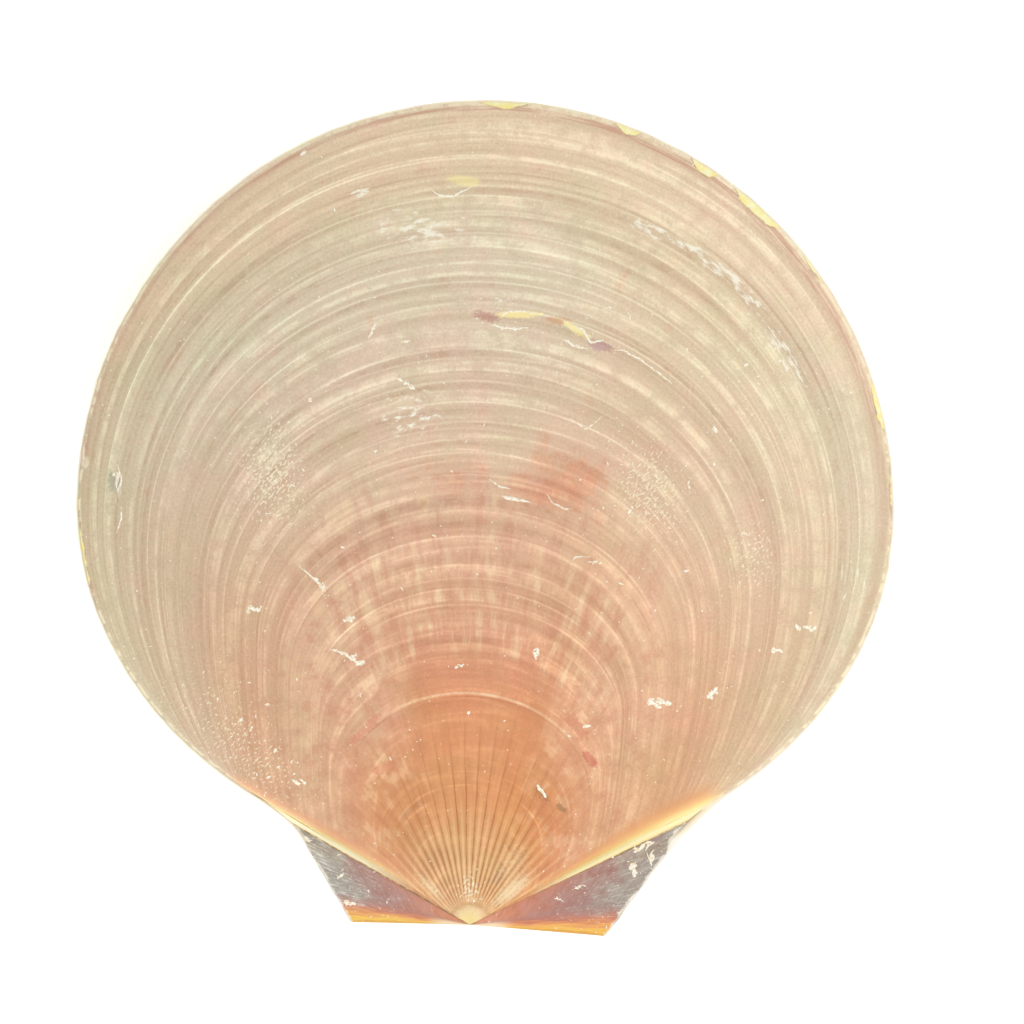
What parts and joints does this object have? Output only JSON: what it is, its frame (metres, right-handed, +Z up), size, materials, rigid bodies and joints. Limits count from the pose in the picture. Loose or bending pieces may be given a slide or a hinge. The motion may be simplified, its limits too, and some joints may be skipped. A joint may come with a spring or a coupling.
{
  "type": "moon scallop shell",
  "caption": "Closed, nearly round scallop shell with thin valves, short ears and a straight hinge, brown above and pale below, resting on a small flat spot.",
  "frame": {"origin": "centre of the small flat spot on the pale valve that the shell rests on", "axes": "+Z up out of the brown valve, +Y from the hinge to the far margin, +X across the shell towards its longer ear"},
  "size_m": [0.0943, 0.0956, 0.0158],
  "materials": {
    "brown_valve": "satin",
    "pale_valve": "satin",
    "ligament": "matte"
  },
  "bodies": {
    "root": {"upper_valve": "brown_valve", "lower_valve": "pale_valve", "hinge_ligament": "ligament"}
  },
  "joints": []
}
